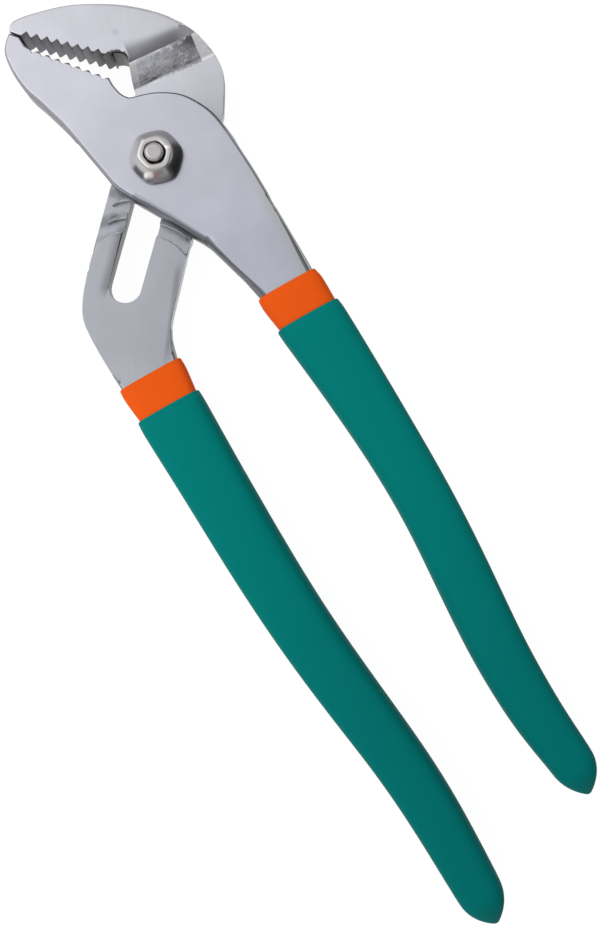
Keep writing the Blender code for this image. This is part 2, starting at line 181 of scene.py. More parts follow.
def join(tree, source, socket):
    """Joins a node's output to a socket, or sets the socket to a plain value."""
    if isinstance(source, bpy.types.NodeSocket):
        tree.links.new(source, socket)
    else:
        socket.default_value = source


def add(tree, kind, values=(), **settings):
    """One node with its settings and the values of its sockets."""
    node = tree.nodes.new(kind)
    for label, value in settings.items():
        setattr(node, label, value)
    for label, value in dict(values).items():
        join(tree, value, node.inputs[label])
    return node


def ramp(tree, source, low, high, to_low=0.0, to_high=1.0):
    """A value spread smoothly from one range to another."""
    return add(tree, "ShaderNodeMapRange", {
        "Value": source, "From Min": low, "From Max": high,
        "To Min": to_low, "To Max": to_high}, interpolation_type="SMOOTHSTEP").outputs["Result"]


def calc(tree, operation, first, second=0.0):
    """One step of arithmetic."""
    return add(tree, "ShaderNodeMath", {0: first, 1: second}, operation=operation).outputs[0]


def times(tree, first, *others):
    """Values multiplied one after the other."""
    for other in others:
        first = calc(tree, "MULTIPLY", first, other)
    return first


def average(tree, first, second, share=0.5):
    """Two values mixed by a share."""
    return calc(tree, "ADD", times(tree, first, 1 - share), times(tree, second, share))


def blend(tree, share, first, second, mode="MIX"):
    """Two colours mixed by a share."""
    return add(tree, "ShaderNodeMix", {0: share, 6: first, 7: second},
               data_type="RGBA", blend_type=mode).outputs[2]


def noise(tree, place, scale, detail, rough):
    """Cloudy noise, most of which lies in noise_span."""
    return add(tree, "ShaderNodeTexNoise", {
        "Vector": place, "Scale": scale, "Detail": detail,
        "Roughness": rough}).outputs["Fac"]


def stretched(tree, place, scale, turn=0.0):
    """The same coordinates turned about Z and stretched."""
    return add(tree, "ShaderNodeMapping", {
        "Vector": place, "Rotation": (0, 0, turn), "Scale": scale}).outputs["Vector"]


def material(name):
    """A new material, its node tree, its shader and the places on the piece."""
    made = bpy.data.materials.new(name)
    made.use_nodes = True
    tree = made.node_tree
    shader = tree.nodes["Principled BSDF"]
    place = tree.nodes.new("ShaderNodeTexCoord").outputs["Object"]
    return made, tree, shader, place


def add_bump(tree, shader, height, strength, reach):
    """Relief too fine to be modelled."""
    bump = add(tree, "ShaderNodeBump", {"Height": height, "Strength": strength, "Distance": reach})
    join(tree, bump.outputs[0], shader.inputs["Normal"])


def make_metal(tree, shader, tone, gloss):
    """Bare metal with a tone and a roughness."""
    join(tree, tone, shader.inputs["Base Color"])
    join(tree, gloss, shader.inputs["Roughness"])
    shader.inputs["Metallic"].default_value = 1.0


def parts_of(tree, place):
    """The X, Y and Z of a place or a direction."""
    return add(tree, "ShaderNodeSeparateXYZ", {0: place}).outputs


def flatten(tree, place):
    """The same place with its height left out."""
    return add(tree, "ShaderNodeVectorMath", {0: place, 1: (1, 1, 0)},
               operation="MULTIPLY").outputs[0]


def along_way(tree, place, way):
    """How far a place lies along a direction."""
    return add(tree, "ShaderNodeVectorMath", {0: place, 1: way},
               operation="DOT_PRODUCT").outputs["Value"]


def make_metal_grain():
    """Fine tumbled grain with long faint lines: tone, roughness and height masks."""
    tree, start, end = new_group(
        "metal grain",
        [("Place", "NodeSocketVector", None), ("Line turn", "NodeSocketFloat", 0.0),
         ("Grain size", "NodeSocketFloat", 1400.0), ("Line share", "NodeSocketFloat", 0.5)],
        [("Tone", "NodeSocketFloat"), ("Gloss", "NodeSocketFloat"), ("Height", "NodeSocketFloat")])
    place = start.outputs["Place"]
    fine = noise(tree, place, start.outputs["Grain size"], detail=3, rough=0.6)
    broad = noise(tree, place, 70, detail=3, rough=0.5)
    turned = add(tree, "ShaderNodeVectorRotate", {
        "Vector": place, "Angle": start.outputs["Line turn"]}, rotation_type="Z_AXIS")
    lines = noise(
        tree, stretched(tree, turned.outputs[0], (2200, 90, 400)), 1, detail=4, rough=0.6)
    line_mask = times(tree, ramp(tree, lines, *noise_span), start.outputs["Line share"])
    join(tree, average(tree, broad, line_mask, 0.3), end.inputs["Tone"])
    join(tree, average(tree, fine, broad), end.inputs["Gloss"])
    join(tree, average(tree, fine, line_mask), end.inputs["Height"])
    return tree


def make_edge_shade_masks():
    """Masks for painted shade on walls and on the line where a rim starts to turn down, and a mask
    for rims.
    """
    tree, start, end = new_group("edge shade masks", [], [
        ("Wall", "NodeSocketFloat"), ("Line", "NodeSocketFloat"), ("Rim", "NodeSocketFloat")])
    normal = tree.nodes.new("ShaderNodeNewGeometry").outputs["Normal"]
    up = calc(tree, "ABSOLUTE", parts_of(tree, normal)["Z"])
    join(tree, ramp(tree, up, 0.60, 0.15), end.inputs["Wall"])
    line = times(tree, ramp(tree, up, 0.997, 0.96), ramp(tree, up, 0.70, 0.86))
    join(tree, line, end.inputs["Line"])
    join(tree, ramp(tree, up, 0.99, 0.85), end.inputs["Rim"])
    return tree


metal_grain = make_metal_grain()
edge_shade_masks = make_edge_shade_masks()


def group_node(tree, group, values=()):
    """A group placed in a material with its own values."""
    return add(tree, "ShaderNodeGroup", values, node_tree=group).outputs


def dim(tree, tone, share, depth):
    """A colour made darker by a share of a depth."""
    left = calc(tree, "SUBTRACT", 1.0, times(tree, share, depth))
    grey = add(tree, "ShaderNodeCombineColor", {0: left, 1: left, 2: left}).outputs[0]
    return blend(tree, 1.0, tone, grey, "MULTIPLY")


def far_from(tree, place, centre):
    """How far a place lies from an upright line through a centre."""
    return add(tree, "ShaderNodeVectorMath", {0: flatten(tree, place), 1: (*centre, 0)},
               operation="DISTANCE").outputs["Value"]


def by_throat(tree, place, rim):
    """The rim of the upper jaw's throat, which lies in shade."""
    away = far_from(tree, place, throat)
    return times(tree, rim, ramp(tree, away, 6.0 * MM, 3.5 * MM))


def hub_arc_shadow(tree, place, rim):
    """Painted shadow on the rim of the hub where the band passes behind it."""
    parts = parts_of(tree, place)
    right = ramp(tree, parts["X"], 1 * MM, 12 * MM, 0.45, 1.0)
    beside = times(tree, ramp(tree, parts["Y"], -4 * MM, 0.0),
                   ramp(tree, parts["X"], -1 * MM, 1 * MM))
    return times(tree, rim, right, beside)


def far_from_line(tree, place, start, end):
    """How far a place lies from the line between two points given in mm."""
    first, last = Vector((*start, 0)) * MM, Vector((*end, 0)) * MM
    way = last - first
    rest = add(tree, "ShaderNodeVectorMath", {0: flatten(tree, place), 1: first},
               operation="SUBTRACT").outputs[0]
    share = along_way(tree, rest, way / way.length_squared)
    share = calc(tree, "MINIMUM", calc(tree, "MAXIMUM", share, 0.0), 1.0)
    nearest = add(tree, "ShaderNodeVectorMath", {0: way, "Scale": share},
                  operation="SCALE").outputs[0]
    return add(tree, "ShaderNodeVectorMath", {0: rest, 1: nearest},
               operation="DISTANCE").outputs["Value"]


def on_shaded_rims(tree, place):
    """The front arm's left rim, from the hub down to the sleeve, which lies in shade."""
    share = 0.0
    for start, end in shaded_rims:
        beside = ramp(tree, far_from_line(tree, place, start, end), 1.0 * MM, 0.3 * MM)
        share = calc(tree, "MAXIMUM", beside, share)
    in_front = calc(tree, "GREATER_THAN", parts_of(tree, place)["Z"], band_face + 2 * MM)
    return times(tree, share, in_front)


def paint_patch_shadows(tree, tone, place):
    """Painted shade across both legs of the band: the tongue arm's shadow and the channels' walls
    in shade.
    """
    ragged = times(tree, noise(tree, place, 420, detail=3, rough=0.6), 1.6 * MM)
    for start, end, half, depth in shadow_patches:
        away = calc(tree, "ADD", far_from_line(tree, place, start, end), ragged)
        share = ramp(tree, away, (half + 1.2) * MM, (half * 0.3 + 0.6) * MM)
        tone = dim(tree, tone, share, depth)
    return tone


def rolled_strip_shade(tree, place):
    """Two strips of painted shade on the band: along the slot's left mouth and inside its right
    side.
    """
    along, left = along_way(tree, place, slot_along), along_way(tree, place, slot_left)
    up = parts_of(tree, place)["Y"]
    low = times(tree, ramp(tree, along, -14.5 * MM, -18.5 * MM),
                ramp(tree, along, -37 * MM, -33 * MM))
    beside = times(tree, ramp(tree, left, 7.0 * MM, 4.3 * MM),
                   calc(tree, "GREATER_THAN", left, 3.9 * MM))
    across = along_way(tree, place, right_strip)
    away = calc(tree, "ABSOLUTE", calc(tree, "SUBTRACT", across, right_strip_at))
    right = times(tree, ramp(tree, away, 1.2 * MM, 0.2 * MM),
                  ramp(tree, up, -23 * MM, -27 * MM), ramp(tree, up, -46 * MM, -40 * MM))
    return calc(tree, "ADD", times(tree, low, beside), times(tree, right, 0.7))


def off_slot(tree, place):
    """A mask that leaves out the slot's left mouth."""
    along, left = along_way(tree, place, slot_along), along_way(tree, place, slot_left)
    away = calc(tree, "ABSOLUTE", calc(tree, "SUBTRACT", left, slot_half))
    return calc(tree, "MAXIMUM", ramp(tree, away, 0.6 * MM, 1.0 * MM),
                ramp(tree, along, 2 * MM, 6 * MM))


def dent_shade(tree, place):
    """Painted shade of one shallow dent on the upper jaw."""
    return ramp(tree, far_from(tree, place, jaw_dent), 1.3 * MM, 0.3 * MM)


def worn_edge(tree, place):
    """The front arm's right edge, where handling has warmed the plating."""
    parts = parts_of(tree, place)
    return times(tree, ramp(tree, parts["X"], 16.2 * MM, 18.8 * MM),
                 ramp(tree, parts["Y"], -8 * MM, -20 * MM))


def side_shade(tree, low, high):
    """A mask that grows on faces turned to the darker side of the room."""
    normal = tree.nodes.new("ShaderNodeTexCoord").outputs["Normal"]
    return ramp(tree, along_way(tree, normal, dark_side), low, high)


def shoulder_shade(tree, place):
    """The soft dark wedge above the step: widest at the back of the jaw."""
    parts = parts_of(tree, place)
    above = calc(tree, "SUBTRACT", along_way(tree, place, step_uphill), step_shoulder)
    wide = calc(tree, "SUBTRACT", times(tree, parts["X"], 0.31), 0.8 * MM)
    wide = calc(tree, "MAXIMUM", wide, 0.2 * MM)
    fading = ramp(tree, parts["X"], 21.8 * MM, 18.6 * MM)
    shade = ramp(tree, calc(tree, "DIVIDE", above, wide), 1.05, 0.0)
    high = calc(tree, "GREATER_THAN", parts["Z"], roll_low - 0.1 * MM)
    on_jaw = calc(tree, "GREATER_THAN", above, -0.05 * MM)
    return times(tree, shade, fading, times(tree, high, on_jaw))


def roll_end_light(tree, place, rim):
    """Painted light on the right end of the roll above the step, whose faces mirror the room's dark
    side.
    """
    parts = parts_of(tree, place)
    right = ramp(tree, parts["X"], 17.6 * MM, 20.4 * MM)
    high = calc(tree, "GREATER_THAN", parts["Z"], roll_low)
    above = calc(tree, "GREATER_THAN", parts["Y"], 20 * MM)
    return times(tree, right, high, above, times(tree, rim, 0.8))


def band_shade_and_light(tree, tone, place, edges):
    """The rear arm's painted shade and painted light, and the painted dark line along its rims."""
    tone = dim(tree, tone, shoulder_shade(tree, place), shoulder_depth)
    # Painted light on the roll's right end
    tone = blend(tree, roll_end_light(tree, place, edges["Rim"]), tone, painted_light_tint)
    tone = dim(tree, tone, rolled_strip_shade(tree, place), strip_shade_depth)
    tone = dim(tree, tone, dent_shade(tree, place), dent_shade_depth)
    tone = paint_patch_shadows(tree, tone, place)
    tone = dim(tree, tone, by_throat(tree, place, edges["Rim"]), mouth_depth)
    # A painted dark line along rims turned to the room's dark side
    return tone, times(tree, edges["Line"], side_shade(tree, -0.05, 0.25), off_slot(tree, place))


def front_wear_and_shade(tree, tone, place, edges):
    """The front arm's painted shade and its warm worn edge, and the painted dark line along its
    rims.
    """
    tone = dim(tree, tone, hub_arc_shadow(tree, place, edges["Rim"]), hub_shadow_depth)
    tone = blend(tree, worn_edge(tree, place), tone, warm_tint, "MULTIPLY")
    tone = dim(tree, tone, on_shaded_rims(tree, place), rim_depth)
    return tone, edges["Line"]


def satin_steel(name, light, dark, turn, line_share, drift_ends, shade_and_wear):
    """Satin plated steel whose tone drifts from the jaws to the handles, with painted shade on its
    walls and rims.
    """
    made, tree, shader, place = material(name)
    grain = group_node(tree, metal_grain, {
        "Place": place, "Line turn": turn, "Grain size": 1400.0, "Line share": line_share})
    edges = group_node(tree, edge_shade_masks)
    drift = ramp(tree, parts_of(tree, place)["Y"], *drift_ends)
    tone = blend(tree, drift, (*light, 1), (*dark, 1))
    tone = dim(tree, tone, ramp(tree, grain["Tone"], 0.65, 0.25), grain_depth)
    tone, line = shade_and_wear(tree, tone, place, edges)
    # Painted shade: a dark line where rims start to turn down, and darker walls
    tone = dim(tree, tone, line, line_shade_depth)
    tone = dim(tree, tone, edges["Wall"], wall_shade_depth)
    make_metal(tree, shader, tone, ramp(tree, grain["Gloss"], *noise_span, *satin_gloss))
    add_bump(tree, shader, grain["Height"], strength=0.10, reach=0.03 * MM)
    return made


def rough_steel(name, light, dark, gloss, scratched=0.0, fade=None):
    """Unpolished steel: speckled from light to dark grey, with bright scratches where rubbed; a
    fade makes it darker to the right and adds painted shade in the step's corner.
    """
    made, tree, shader, place = material(name)
    speck = noise(tree, place, 1500, detail=4, rough=0.7)
    scratch = noise(
        tree, stretched(tree, place, (320, 1500, 600), 0.15), 1, detail=4, rough=0.65)
    mixed = average(tree, speck, scratch)
    tone = blend(tree, ramp(tree, mixed, 0.36, 0.64), (*dark, 1), (*light, 1))
    if fade:
        # Darker towards the right, and painted shade in the step's corner
        tone = dim(tree, tone, ramp(tree, parts_of(tree, place)["X"], *fade), fade_depth)
        corner = far_from(tree, place, step_corner)
        tone = dim(tree, tone, ramp(tree, corner, 3.4 * MM, 0.8 * MM), corner_shade_depth)
    rubbed = noise(tree, stretched(tree, place, (520, 900, 300), 0.9), 1, detail=3, rough=0.6)
    share = times(tree, ramp(tree, rubbed, 0.56, 0.66), scratched)
    tone = blend(tree, share, tone, scratch_tint)
    make_metal(tree, shader, tone, ramp(tree, scratch, *noise_span, *gloss))
    add_bump(tree, shader, mixed, strength=0.6, reach=0.1 * MM)
    return made


def polished_steel(name, dark, light, gloss):
    """Even bright steel with a faint grain."""
    made, tree, shader, place = material(name)
    grain = group_node(tree, metal_grain, {"Place": place, "Grain size": 900.0, "Line share": 0.2})
    tone = blend(tree, ramp(tree, grain["Tone"], *noise_span), (*dark, 1), (*light, 1))
    make_metal(tree, shader, tone, ramp(tree, grain["Gloss"], *noise_span, *gloss))
    return made


def dipped_vinyl(name, colour, deep):
    """Dipped soft vinyl: deeper towards the tips, with slow drifts, a fine pebbled skin and painted
    shade on the side turned to the room's dark side.
    """
    made, tree, shader, place = material(name)
    slow = noise(tree, place, 45, detail=2, rough=0.4)
    skin = noise(tree, place, 900, detail=2, rough=0.5)
    down = ramp(tree, parts_of(tree, place)["Y"], -45 * MM, -200 * MM, 0.0, 0.85)
    share = calc(tree, "ADD", down, times(tree, slow, 0.15))
    tone = blend(tree, share, (*colour, 1), (*deep, 1))
    # Painted shade on faces turned to the room's dark side
    tone = dim(tree, tone, side_shade(tree, 0.05, 0.95), side_depth)
    join(tree, tone, shader.inputs["Base Color"])
    join(tree, ramp(tree, skin, *noise_span, *vinyl_gloss), shader.inputs["Roughness"])
    add_bump(tree, shader, skin, strength=0.10, reach=0.1 * MM)
    shader.inputs["Specular IOR Level"].default_value = 0.02
    return made


def turned_nut(name):
    """Polished steel that mirrors the room, with painted shade on its sides and painted highlights.
    """
    made, tree, shader, place = material(name)
    grain = group_node(tree, metal_grain, {"Place": place, "Grain size": 900.0, "Line share": 0.2})
    flat = flatten(tree, place)
    out = add(tree, "ShaderNodeVectorMath", {0: flat}, operation="LENGTH").outputs["Value"]
    way = add(tree, "ShaderNodeVectorMath", {0: flat}, operation="NORMALIZE").outputs[0]
    tone = blend(tree, ramp(tree, grain["Tone"], *noise_span), nut_dark, nut_light)
    # Painted shade on the nut's sides
    for turn, soft, hard, near, far, depth in nut_shades:
        side = (math.cos(math.radians(turn)), math.sin(math.radians(turn)), 0)
        facing = ramp(tree, along_way(tree, way, side), soft, hard)
        mask = times(tree, facing, ramp(tree, out, near * MM, far * MM))
        tone = dim(tree, tone, mask, depth)
    # Painted highlights
    for start, end, half, share in nut_glints:
        away = far_from_line(tree, place, start, end)
        glint = times(tree, ramp(tree, away, half * MM, half * 0.3 * MM), share)
        tone = blend(tree, glint, tone, white)
    make_metal(tree, shader, tone, ramp(tree, grain["Gloss"], *noise_span, *nut_gloss))
    return made


steel_look = satin_steel(
    "satin_nickel", light=(0.56, 0.56, 0.625), dark=(0.46, 0.475, 0.545), turn=0.5,
    line_share=0.2, drift_ends=(30 * MM, -45 * MM), shade_and_wear=front_wear_and_shade)
band_look = satin_steel(
    "milled_band", light=(0.59, 0.59, 0.65), dark=(0.385, 0.395, 0.435), turn=0.3,
    line_share=0.3, drift_ends=(20 * MM, -10 * MM), shade_and_wear=band_shade_and_light)
forge_look = rough_steel(
    "forged_skin", light=(0.80, 0.80, 0.86), dark=(0.44, 0.45, 0.48), gloss=(0.30, 0.55),
    scratched=0.5, fade=(9 * MM, 20 * MM))
# Rubbed steel, also used as a painted highlight on the slope's nose
rubbed_and_highlight_look = rough_steel(
    "rubbed_edge_and_highlight", light=(0.84, 0.84, 0.86), dark=(0.74, 0.74, 0.77), gloss=(0.55, 0.65))
channel_look = rough_steel(
    "milled_channel", light=(0.56, 0.57, 0.58), dark=(0.42, 0.43, 0.44), gloss=(0.50, 0.62),
    scratched=0.3)
nut_look = turned_nut("polished_nut")
bolt_look = polished_steel(
    "bolt_steel", dark=(0.46, 0.43, 0.44), light=(0.58, 0.54, 0.55), gloss=(0.25, 0.35))
orange_look = dipped_vinyl("orange_vinyl", colour=(0.82, 0.103, 0.0080), deep=(0.76, 0.095, 0.0075))
green_look = dipped_vinyl("green_vinyl", colour=(0.0006, 0.198, 0.180), deep=(0.0004, 0.138, 0.130))


# Modelling helpers

# Corners closer than this are one, and how far a corner may lie off a face or an edge it is on
merge_gap = 0.002 * MM
slack = 0.02 * MM
edge_slack = 0.06 * MM

# Below this angle the edges of a round piece are smooth
round_angle = 60


def start_from(mesh_maker, **settings):
    """A new piece from one of the mesh primitives."""
    pick_nothing()
    mesh_maker(**settings)
    piece = bpy.context.object
    bpy.ops.object.transform_apply(location=True, rotation=True, scale=True)
    return piece


def pick(piece, kind, layer, test):
    """Selects what passes a test in one layer of the mesh, and stays in edit mode."""
    bpy.ops.object.mode_set(mode="EDIT")
    bpy.ops.mesh.select_mode(type=kind)
    bpy.ops.mesh.select_all(action="DESELECT")
    bpy.ops.object.mode_set(mode="OBJECT")
    for part in getattr(piece.data, layer):
        part.select = test(part)
    bpy.ops.object.mode_set(mode="EDIT")


def pick_faces(piece, test):
    """Picks the faces whose middle and normal pass a test."""
    pick(piece, "FACE", "polygons", lambda face: test(face.center, face.normal))


def pick_edges(piece, test):
    """Picks the edges whose two ends pass a test."""
    pick(piece, "EDGE", "edges", lambda edge: test(
        *(piece.data.vertices[corner].co for corner in edge.vertices)))


def pick_corners(piece, test):
    """Picks the corners that pass a test."""
    pick(piece, "VERT", "vertices", lambda corner: test(corner.co))


def apply(piece, kind, **settings):
    """Adds a modifier with its settings and applies it."""
    work_on(piece)
    made = piece.modifiers.new(kind.title(), kind)
    for label, value in settings.items():
        setattr(made, label, value)
    bpy.ops.object.modifier_apply(modifier=made.name)


def finish_piece(piece, name, body, slot_name, *looks, angle, stands_for):
    """Cleans a piece, names it, and tells which body and nodes it belongs to; its slot name is not
    used.
    """
    work_on(piece)
    bpy.ops.object.mode_set(mode="EDIT")
    bpy.ops.mesh.select_all(action="SELECT")
    bpy.ops.mesh.remove_doubles(threshold=merge_gap)
    bpy.ops.mesh.normals_make_consistent(inside=False)
    bpy.ops.object.mode_set(mode="OBJECT")
    bpy.ops.object.shade_smooth_by_angle(angle=math.radians(angle))
    keep_as(name)
    if looks:
        wear(piece, *looks)
    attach(piece, body)
    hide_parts(*stands_for)


# The sleeves: how far a tip reaches, how far a lip is drawn in, and each layer's sizes and cuts
tip_reach = 12 * MM
lip_inset = 0.8 * MM
inner_wall = 0.9 * MM
inner_chamfer = 1.7 * MM
inner_cuts = 2
outer_wall = 0.8 * MM
outer_chamfer = 2.4 * MM
outer_cuts = 3


def sections(name):
    """Outer sizes of a grip at each ring: place along Y, middle, half width, low and high."""
    rings = {}
    for corner in nodes[name].data.vertices:
        rings.setdefault(round(corner.co.y, 5), []).append(corner.co)
    rows = []
    for y in sorted(rings):
        across = [place.x for place in rings[y]]
        up = [place.z for place in rings[y]]
        half = (max(across) - min(across)) / 2
        in_tip = y < min(rings) + tip_reach
        # A tip only widens on its way up, so a ring narrower than the last is left out
        if in_tip and rows and half < rows[-1][2]:
            continue
        rows.append((y, (max(across) + min(across)) / 2, half, min(up), max(up)))
    return rows[::-1]


def dipped_sleeve(node, name, body, slot_name, look, wall, cuts, chamfer):
    """A dipped layer: a chamfered box drawn out along the handle, hollowed and softened."""
    rows = sections(node)
    # Subdivision draws the corners in by a small part of the chamfer
    crown = chamfer / 24
    y, middle, half, low, high = rows[0]
    sleeve = start_from(
        bpy.ops.mesh.primitive_cube_add, size=1,
        location=(middle, y - lip_inset / 2, (low + high) / 2),
        scale=(2 * half + 2 * crown, lip_inset, high - low + 2 * crown))
    pick_edges(sleeve, lambda one, other: abs(one.y - other.y) > merge_gap)
    bpy.ops.mesh.bevel(offset=chamfer, offset_type="OFFSET", segments=1)
    bpy.ops.object.mode_set(mode="OBJECT")
    end = y - lip_inset
    for last, row in zip(rows, rows[1:]):
        _, last_middle, last_half, last_low, last_high = last
        y, middle, half, low, high = row
        pick_faces(sleeve, lambda place, normal: normal.y < -0.9 and place.y < end + merge_gap)
        bpy.ops.mesh.extrude_region_move(TRANSFORM_OT_translate={"value": (
            middle - last_middle, y - end, (low + high - last_low - last_high) / 2)})
        bpy.ops.transform.resize(
            value=(half / last_half, 1, (high - low) / (last_high - last_low)),
            center_override=(middle, y, (low + high) / 2))
        bpy.ops.object.mode_set(mode="OBJECT")
        end = y
    pick_faces(sleeve, lambda place, normal: normal.y > 0.9 and place.y > rows[0][0] - merge_gap)
    bpy.ops.mesh.delete(type="FACE")
    bpy.ops.mesh.select_all(action="SELECT")
    bpy.ops.mesh.normals_make_consistent(inside=False)
    bpy.ops.object.mode_set(mode="OBJECT")
    apply(sleeve, "SOLIDIFY", thickness=wall, offset=-1.0, use_even_offset=False)
    apply(sleeve, "SUBSURF", levels=cuts, render_levels=cuts)
    finish_piece(sleeve, name, body, slot_name, look, angle=round_angle, stands_for=[node])


for side, body in (("slotted_arm", "slotted_side"), ("tongue_arm", "tongue_side")):
    dipped_sleeve(side + "_inner_grip", side + "_orange_layer", body, "orange_vinyl", orange_look,
                  wall=inner_wall, cuts=inner_cuts, chamfer=inner_chamfer)
    dipped_sleeve(side + "_outer_grip", side + "_green_layer", body, "green_vinyl", green_look,
                  wall=outer_wall, cuts=outer_cuts, chamfer=outer_chamfer)


# The arms: the forgings themselves, with every hard edge broken a little

edge_break = 0.15 * MM
bolt_edge_break = 0.25 * MM

# The slope: where its pale ends start, the right one rubbed and the one at the throat painted as a
# highlight, and the cells of its forged skin
nose_foot = Vector((3.43 * MM, 18.58 * MM, 0))
nose_way = Vector((0.934, -0.357, 0))
nose_wide = 1.7 * MM
step_left = 2.0 * MM
step_right = 22.2 * MM
slope_top = front_face - 1.2 * MM
step_cell = 0.8 * MM
step_cells_across = 32
step_cells_up = 8
step_margin = 1.6 * MM
skin_grain = 1.3 * MM
skin_height = 0.5 * MM

# The roll above the slope, the mouths of the channels and the slot, and the floor's cuts
roll_round = 2.7 * MM
roll_ends = (4.4 * MM, 18.4 * MM)
jaw_face_low = band_face + 4 * MM
channel_round = 0.25 * MM
slot_round = 0.5 * MM
channel_walls_low = 5 * MM
slot_clear = 0.15 * MM
slot_mouth = (-33 * MM, -16.5 * MM)
floor_cuts = 20
floor_cut_first = 8.2 * MM
floor_cut_step = 1.55 * MM

# The front arm: its hub, and the plate's end on the handle
hub_arc_reach = 14.5 * MM
hub_arc_low = -4 * MM
hub_arc_lean = 0.1
hub_draft = 1.035
plate_end = -26.1 * MM
seam_reach = 0.25 * MM
seam_gap = 0.16 * MM
plate_corners = (-24.8 * MM, -23.5 * MM)
plate_left = 1.1 * MM
plate_draw = 0.45 * MM
neck = (-26 * MM, -23.4 * MM)
neck_low = 12.5 * MM
neck_sides = (lambda place: place.x < 2.8 * MM, lambda place: place.x > 18.3 * MM)
# The left rim below the neck, in mm: place along Y, height, and how far its upper edge moves in
neck_rims = ((-25.59, 14.78, 0.3), (-31.13, 14.48, 0.8), (-36.66, 13.74, 1.0), (-42.2, 13.39, 1.1))
neck_rim_reach = 0.6 * MM
neck_rim_lean = 0.08

# The bolt's staked end
bolt_tip = 18.5 * MM
tip_share = 0.76


def forged_copy(node, name):
    """The forging as a new piece, with its flat faces whole again."""
    copy = bpy.data.objects.new(name, nodes[node].data.copy())
    bpy.context.scene.collection.objects.link(copy)
    work_on(copy)
    bpy.ops.object.mode_set(mode="EDIT")
    bpy.ops.mesh.select_all(action="SELECT")
    bpy.ops.mesh.remove_doubles(threshold=merge_gap)
    bpy.ops.mesh.dissolve_limited(angle_limit=math.radians(1))
    bpy.ops.object.mode_set(mode="OBJECT")
    copy.data.materials.clear()
    return copy


def weigh_hard_edges(piece, hard):
    """Marks the edges to be broken: all the hard ones but the feet of the channels' walls."""
    work_on(piece)
    bpy.ops.object.mode_set(mode="EDIT")
    bpy.ops.mesh.select_mode(type="EDGE")
    bpy.ops.mesh.select_all(action="DESELECT")
    bpy.ops.mesh.edges_select_sharp(sharpness=math.radians(hard))
    bpy.ops.object.mode_set(mode="OBJECT")
    points = piece.data.vertices
    chosen = {edge.index for edge in piece.data.edges if edge.select and not all(
        on_channel(points[corner].co, channel_floor) for corner in edge.vertices)}
    pick(piece, "EDGE", "edges", lambda edge: edge.index in chosen)
    bpy.ops.transform.edge_bevelweight(value=1)
    bpy.ops.object.mode_set(mode="OBJECT")


def finish_forging(piece, node, name, body, slot_name="satin_steel",
                   width=edge_break, hard=40, smooth=40):
    """Breaks the hard edges and smooths the rest, with the flat faces kept flat to the eye."""
    weigh_hard_edges(piece, hard)
    apply(piece, "BEVEL", width=width, segments=2, limit_method="WEIGHT", use_clamp_overlap=False)
    finish_piece(piece, name, body, slot_name, angle=smooth, stands_for=[node])
    pick_edges(piece, lambda one, other: max(
        abs(one.z - channel_floor), abs(other.z - channel_floor)) < slack / 2)
    bpy.ops.mesh.mark_sharp()
    bpy.ops.object.mode_set(mode="OBJECT")
    apply(piece, "WEIGHTED_NORMAL", keep_sharp=True, weight=100)


def cut_faces(piece, test, way, reach):
    """Cuts the faces that pass a test with a plane square to a direction."""
    pick_faces(piece, test)
    bpy.ops.mesh.bisect(plane_co=way * reach, plane_no=way)
    bpy.ops.object.mode_set(mode="OBJECT")


def assign(piece, look, test):
    """Gives a look that the piece already wears to the faces that pass a test."""
    pick_faces(piece, test)
    piece.active_material_index = piece.data.materials.find(look.name)
    bpy.ops.object.material_slot_assign()
    bpy.ops.object.mode_set(mode="OBJECT")


def past_step(place):
    """How far a place lies towards the jaws, square to the step."""
    return place.x * math.sin(step_turn) + place.y * math.cos(step_turn)


def on_step(place, normal):
    """Whether a face is a part of the step's slope."""
    return 0.70 < normal.z < 0.83 and step_foot < past_step(place) < step_shoulder


def slope_height(place):
    """The slope's height at a place."""
    share = (past_step(place) - step_foot) / (step_shoulder - step_foot)
    return band_face + share * (slope_top - band_face)


def past_nose(place):
    """How far a place on the slope lies from the throat."""
    return (place - nose_foot).dot(nose_way)


def roughen_step(piece):
    """Cuts the step's slope into small cells and lets the forge's skin stand up on it."""
    for i in range(1, step_cells_across):
        cut_faces(piece, on_step, step_across, i * step_cell + step_left)
    for i in range(1, step_cells_up):
        rise = (step_shoulder - step_foot) * (i / step_cells_up)
        cut_faces(piece, on_step, step_uphill, step_foot + rise)
    assign(piece, forge_look, on_step)
    # The slope's right end is rubbed; its end at the throat is painted pale as the highlight of its
    # rounded nose
    assign(piece, rubbed_and_highlight_look, lambda place, normal: on_step(place, normal) and (
        place.x > step_right or past_nose(place) < nose_wide))
    group = piece.vertex_groups.new(name="forged_skin")
    for corner in piece.data.vertices:
        inside = min(past_step(corner.co) - step_foot, step_shoulder - past_step(corner.co))
        inside = min(inside, past_nose(corner.co) - nose_wide, step_right - corner.co.x)
        if inside > merge_gap and abs(corner.co.z - slope_height(corner.co)) < slack:
            group.add([corner.index], min(1.0, inside / step_margin), "REPLACE")
    skin = bpy.data.textures.new("forged_skin", "CLOUDS")
    skin.noise_scale = skin_grain
    skin.noise_depth = 2
    apply(piece, "DISPLACE", texture=skin, texture_coords="LOCAL", strength=skin_height,
          mid_level=0.5, vertex_group="forged_skin")


